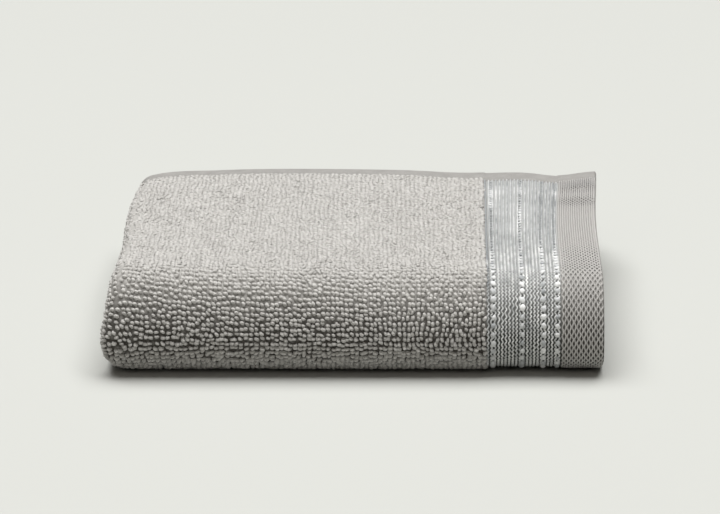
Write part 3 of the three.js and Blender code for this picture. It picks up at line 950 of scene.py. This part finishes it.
strands = strand_tree()
border_yarn = cotton(
    "border_yarn", BORDER_DARK_YARN, BORDER_LIGHT_YARN, turns=500, fuzz=1500, relief=0.0001,
    shares=(0.35, 0.75))
woven("border_strands", border_face, strands, {
    "First along": BORDER_FIRST, "Pitch": STRAND_PITCH, "Strands": BORDER_STRANDS,
    "From across": WEAVE_FROM, "To across": WEAVE_TO, "Steps": STRAND_STEPS, "Wave pitch": WAVE_PITCH,
    "Zigzag": ZIGZAG, "Turned": 0.0, "Lift": STRAND_LIFT, "Ripple": STRAND_RIPPLE, "Yarn": STRAND_YARN,
    "Sides": 4, "Wander": 3.0, "Uneven": 2.3, "Closing": 0.80, "Painted top shade": -0.34, "Material": border_yarn,
})

# The end hem: two thicknesses of a close plain weave. Its strands lie side by side and bend away from each
# other in turn, which leaves rows of small dark slits between them like laid bricks.
HEM_STRANDS = 17
HEM_WAVE_PITCH = 0.00290
HEM_STEPS = 350
HEM_ZIGZAG = 0.00025
HEM_LIFT = 0.00024
HEM_YARN = 0.00034
HEM_DARK_YARN, HEM_LIGHT_YARN = (0.21, 0.202, 0.192, 1), (0.53, 0.516, 0.494, 1)
hem_cotton = cotton(
    "hem_cotton", HEM_DARK_YARN, HEM_LIGHT_YARN, turns=500, fuzz=3000, relief=0.0001, shares=(0.5, 0.5))
woven("end_hem_weave", border_face, strands, {
    "First along": HEM_FIRST, "Pitch": HEM_STRAND_PITCH, "Strands": HEM_STRANDS,
    "From across": WEAVE_FROM, "To across": WEAVE_TO, "Steps": HEM_STEPS, "Wave pitch": HEM_WAVE_PITCH,
    "Zigzag": HEM_ZIGZAG, "Turned": 0.5, "Lift": HEM_LIFT, "Ripple": STRAND_RIPPLE, "Yarn": HEM_YARN,
    "Sides": 4, "Wander": 0.8, "Uneven": 0.8, "Closing": 0.10, "Painted top shade": 0.0, "Material": hem_cotton,
})

# The beads: short floats of the same white and silver yarn, drawn together into small soft knots. They stand
# in four columns on the border, one for each repeat of the weave.
BEAD_COLUMNS = (0.0388, 0.02875, 0.0213, 0.0164)  # how far each lies from the end of the cloth
BEAD_PITCH = 0.0031
BEAD_FROM = 0.0135
BEAD_TO = 0.186
BEAD_REACH = (0.00078, 0.00106, 0.00058)  # from the middle, along the cloth, across it and outwards
SMALLEST_BEAD = (0.80, 0.80, 0.80)
LARGEST_BEAD = (1.12, 1.12, 1.08)
BEAD_LIFT = 0.00055
BEAD_SCATTER = (0.00015, 0.00025)
BEAD_TURN = (0.15, 0.15, 0.5)
BEAD_DENT = 0.35
DENT_SCALE = 1.6
CLOSE_SHRINKING = -0.5  # how much smaller beads are, and how much more alike and darker, where the strands lie close; the darkening is painted shade on the top
CLOSE_LIKENESS_AND_SHADE = -0.75
DULLEST_BEAD, WHITEST_BEAD = -0.2, 0.85
BEAD_DARK_YARN, BEAD_LIGHT_YARN = (0.27, 0.285, 0.292, 1), (0.83, 0.83, 0.82, 1)


def bead_tree():
    tree, given = weave_tree("Beads", (
        ("Along", "Float"), ("From across", "Float"), ("Pitch", "Float"), ("Beads", "Int"),
        ("Reach", "Vector"), ("Lift", "Float"), ("Seed", "Int"), ("Material", "Material"),
    ))
    line = node(tree, "GeometryNodeMeshLine", {
        "Count": given["Beads"], "Start Location": vector_of(tree, given["Along"], given["From across"]),
        "Offset": vector_of(tree, 0.0, given["Pitch"]),
    }).outputs[0]
    here = node(tree, "GeometryNodeInputPosition").outputs[0]
    astray = spread_around(tree, vector_of(tree, *BEAD_SCATTER), given["Seed"], 0.0)
    points = stored(tree, line, "flat", sum_of(tree, here, astray))
    flat = named(tree, "flat")
    cloth_face = given["Geometry"]
    spot = on_cloth(tree, cloth_face, here, flat)
    outwards = on_cloth(tree, cloth_face, named(tree, "outwards"), flat)
    lengthwise = on_cloth(tree, cloth_face, named(tree, "lengthwise"), flat)
    lifted = sum_of(tree, spot, scaled(tree, outwards, given["Lift"]))
    points = stored(tree, points, "woven", on_cloth(tree, cloth_face, named(tree, "weave"), flat))
    points = node(tree, "GeometryNodeSetPosition", {"Geometry": points, "Position": lifted}).outputs[0]
    ball = node(tree, "GeometryNodeMeshIcoSphere", {"Radius": 1.0, "Subdivisions": 3}).outputs[0]
    grain = node(tree, "ShaderNodeTexNoise", {"Scale": DENT_SCALE, "Detail": 1.0}).outputs["Color"]
    dents = scaled(tree, sum_of(tree, grain, MIDWAY), BEAD_DENT)
    dented = node(tree, "GeometryNodeSetPosition", {"Geometry": ball, "Offset": dents}).outputs[0]
    own_turn = spread_around(tree, BEAD_TURN, given["Seed"], 1.0)
    rotation = stood_up(tree, outwards, lengthwise, own_turn)
    size = node(tree, "FunctionNodeRandomValue", {
        "Min": SMALLEST_BEAD, "Max": LARGEST_BEAD, "Seed": number(tree, "ADD", given["Seed"], 2.0),
    }, data_type="FLOAT_VECTOR").outputs[0]
    weave = node(tree, "ShaderNodeSeparateXYZ", {0: named(tree, "woven")}).outputs
    whiter, close = weave[0], weave[2]
    fuller = number(tree, "MULTIPLY_ADD", close, CLOSE_SHRINKING, 1.0)
    fuller = number(tree, "MULTIPLY_ADD", whiter, WHITE_SWELLING, fuller)
    sized = product_of(tree, size, scaled(tree, given["Reach"], fuller))
    standing = node(tree, "GeometryNodeInstanceOnPoints", {
        "Points": points, "Instance": dented, "Rotation": rotation, "Scale": sized}).outputs[0]
    own_tone = node(tree, "FunctionNodeRandomValue", {
        2: DULLEST_BEAD, 3: WHITEST_BEAD, "Seed": number(tree, "ADD", given["Seed"], 3.0),
    }, data_type="FLOAT").outputs[1]
    # Shrinking their own tone where the strands lie close, on the pressed top, also makes the beads darker
    # there: a painted shade on the top.
    unlike = number(tree, "MULTIPLY_ADD", close, CLOSE_LIKENESS_AND_SHADE, 1.0)
    tone = number(tree, "MULTIPLY_ADD", own_tone, unlike, whiter)
    finish_tree(tree, stored(tree, standing, "tone", tone, "FLOAT", "INSTANCE"), given["Material"])
    return tree


beads = bead_tree()
bead_yarn = cotton(
    "bead_yarn", BEAD_DARK_YARN, BEAD_LIGHT_YARN, turns=500, fuzz=1500, relief=0.0001, shares=(0.35, 0.75))
beads_in_column = int((BEAD_TO - BEAD_FROM) / BEAD_PITCH)
for column, along in enumerate(BEAD_COLUMNS, start=1):
    woven(f"beads_{column}", border_face, beads, {
        "Along": along, "From across": BEAD_FROM, "Pitch": BEAD_PITCH, "Beads": beads_in_column,
        "Reach": BEAD_REACH, "Lift": BEAD_LIFT, "Seed": 70 + column, "Material": bead_yarn,
    })
bpy.data.objects.remove(border_face)


# The studio: a plain pale floor, one large soft light above and a little behind, a weak warm one in front,
# and the camera.
FLOOR_HALF = 6.0
FLOOR_COLOUR = (0.435, 0.4395, 0.4165, 1)
WORLD_COLOUR = (1.0, 0.95, 0.87, 1)
WORLD_STRENGTH = 0.085


def pale_floor():
    half = FLOOR_HALF
    mesh = bpy.data.meshes.new("floor")
    corners = [(-half, -half, 0), (half, -half, 0), (half, half, 0), (-half, half, 0)]
    mesh.from_pydata(corners, [], [(0, 1, 2, 3)])
    paint = bpy.data.materials.new("pale_floor")
    paint.use_nodes = True
    shader = paint.node_tree.nodes["Principled BSDF"]
    shader.inputs["Base Color"].default_value = FLOOR_COLOUR
    shader.inputs["Roughness"].default_value = 0.9
    shader.inputs["Specular IOR Level"].default_value = 0.1
    mesh.materials.append(paint)
    return place(mesh)


def soft_light(name, size, power, position, colour):
    light = bpy.data.lights.new(name, "AREA")
    light.color = colour
    light.shape = "SQUARE"
    light.size = size
    light.energy = power
    lamp = bpy.data.objects.new(name, light)
    bpy.context.collection.objects.link(lamp)
    lamp.location = position
    lamp.rotation_euler = (-Vector(position)).to_track_quat("-Z", "Y").to_euler()


pale_floor()
soft_light("overhead_softbox", size=3.0, power=200.0, position=(-0.03, 0.16, 3.0), colour=(1.0, 1.0, 1.0))
soft_light("front_fill", size=1.6, power=14.0, position=(-0.4, -2.6, 1.9), colour=(1.0, 0.95, 0.88))
world = bpy.data.worlds.new("studio")
world.use_nodes = True
world.node_tree.nodes["Background"].inputs["Color"].default_value = WORLD_COLOUR
world.node_tree.nodes["Background"].inputs["Strength"].default_value = WORLD_STRENGTH
bpy.context.scene.world = world
bpy.context.scene.view_settings.view_transform = "Standard"

# The camera faces the crease from far off, through a long lens, and looks down a little.
CAMERA_ELEVATION = math.radians(17.17)
CAMERA_DISTANCE = 2.83
CAMERA_LENS = 397.5
CAMERA_TARGET = Vector((0.00246, -0.00325, 0.02098))
camera_data = bpy.data.cameras.new("camera")
camera_data.lens = CAMERA_LENS
camera_data.clip_end = 20
camera = bpy.data.objects.new("camera", camera_data)
bpy.context.collection.objects.link(camera)
towards_camera = Vector((0, -math.cos(CAMERA_ELEVATION), math.sin(CAMERA_ELEVATION)))
camera.location = CAMERA_TARGET + towards_camera * CAMERA_DISTANCE
camera.rotation_euler = (math.pi / 2 - CAMERA_ELEVATION, 0, 0)
bpy.context.scene.camera = camera
